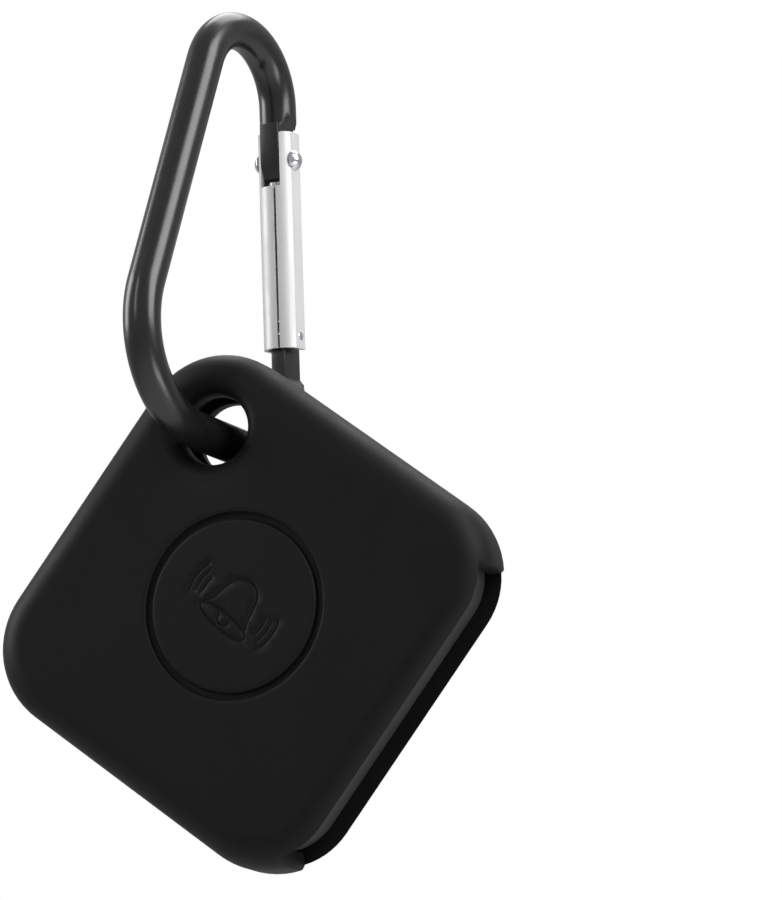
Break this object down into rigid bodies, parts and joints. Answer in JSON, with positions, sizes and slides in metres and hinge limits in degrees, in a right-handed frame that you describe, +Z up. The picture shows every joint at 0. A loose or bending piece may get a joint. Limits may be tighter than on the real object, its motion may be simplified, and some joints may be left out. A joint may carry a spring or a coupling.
{
  "type": "bluetooth tracker tag",
  "caption": "Square tracker tag in a soft silicone sleeve with a round press pad, hung by its corner hole on a small black carabiner with a silver spring gate.",
  "frame": {"origin": "hang point: the inside of the carabiner's top bend, where a hook, ring or strap holds it", "axes": "+Z up; the sleeve's front face, with the press pad, looks along -Y; +X is to the right seen from the front"},
  "size_m": [0.0485, 0.0269, 0.0816],
  "materials": {
    "silicone": "matte moulded silicone",
    "tracker_plastic": "fine-textured moulded plastic",
    "seal_rubber": "matte",
    "cell_steel": "satin nickel-plated",
    "contact_metal": "satin",
    "board": "solder mask",
    "component": "moulded epoxy",
    "ceramic": "fired ceramic",
    "copper_wire": "enamelled wire",
    "magnet": "ground ferrite",
    "anodised_black": "satin black anodised",
    "bright_aluminium": "bright satin",
    "bright_steel": "bright"
  },
  "bodies": {
    "carabiner": {"carabiner_body": "anodised_black"},
    "tag": {"sleeve": "silicone", "tracker_front_shell": "tracker_plastic", "tracker_rear_shell": "tracker_plastic", "shell_seal": "seal_rubber", "door_seal": "seal_rubber", "coin_cell": "cell_steel", "positive_contact": "contact_metal", "negative_contact": "contact_metal", "main_board": "board", "switch_body": "component", "bluetooth_chip": "component", "shield_can": "cell_steel", "crystal": "cell_steel", "chip_antenna": "ceramic", "board_chips": "component", "buzzer_housing": "component", "buzzer_diaphragm": "cell_steel", "buzzer_coil": "copper_wire", "buzzer_magnet": "magnet"},
    "pad": {"press_pad": "silicone"},
    "button": {"tracker_button": "tracker_plastic"},
    "switch": {"switch_stem": "component"},
    "door": {"battery_door": "tracker_plastic"},
    "gate": {"gate": "bright_aluminium", "hinge_rivet": "bright_steel", "latch_pin": "bright_steel", "gate_spring": "bright_steel", "gate_plunger": "contact_metal"}
  },
  "joints": [
    {"name": "tag_swing", "type": "hinge", "parent": "carabiner", "child": "tag", "pos_m": [-0.00584, -0.00203, -0.03766], "axis": [0, 1, 0], "range_deg": [-70, 90]},
    {"name": "gate_hinge", "type": "hinge", "parent": "carabiner", "child": "gate", "pos_m": [0.00001, 0.00656, -0.00965], "axis": [-0.9686, 0.2059, 0.1392], "range_deg": [0, 30], "stiffness_Nm_per_rad": 0.05, "springref_deg": -14.32},
    {"name": "pad_press", "type": "slide", "parent": "tag", "child": "pad", "axis": [0, 1, 0], "range_m": [0, 0.0003], "stiffness_N_per_m": 3000},
    {"name": "button_press", "type": "slide", "parent": "tag", "child": "button", "axis": [0, 1, 0], "range_m": [0, 0.0003]},
    {"name": "switch_press", "type": "slide", "parent": "tag", "child": "switch", "axis": [0, 1, 0], "range_m": [0, 0.0003]},
    {"name": "door_turn", "type": "hinge", "parent": "tag", "child": "door", "pos_m": [-0.00584, 0.00217, -0.05391], "axis": [0, 1, 0], "range_deg": [0, 30]}
  ],
  "couplings": [
    {"joint": "button_press", "follows": "pad_press", "ratio": 1},
    {"joint": "switch_press", "follows": "pad_press", "ratio": 1}
  ]
}
